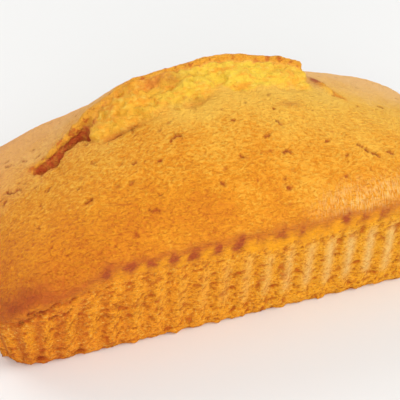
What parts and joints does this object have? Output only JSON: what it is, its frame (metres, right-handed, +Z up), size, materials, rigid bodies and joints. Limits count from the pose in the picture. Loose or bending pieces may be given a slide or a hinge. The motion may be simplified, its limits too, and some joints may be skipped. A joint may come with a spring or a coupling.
{
  "type": "pound cake loaf",
  "caption": "Whole baked pound cake loaf with pleated, outward-flaring sides, a domed golden crust and a lengthwise crack with one raised lip.",
  "frame": {"origin": "middle of the flat foot that the loaf stands on", "axes": "+X along the loaf towards the end where the raised lip breaks off, -Y the side that the crack opens towards, +Z up"},
  "size_m": [0.2172, 0.1076, 0.0903],
  "materials": {
    "baked_cake": "baked golden crust, dull with a faint sheen, porous at the sides and pale yellow in the crack"
  },
  "bodies": {
    "root": {"pound_cake_loaf": "baked_cake"}
  },
  "joints": []
}
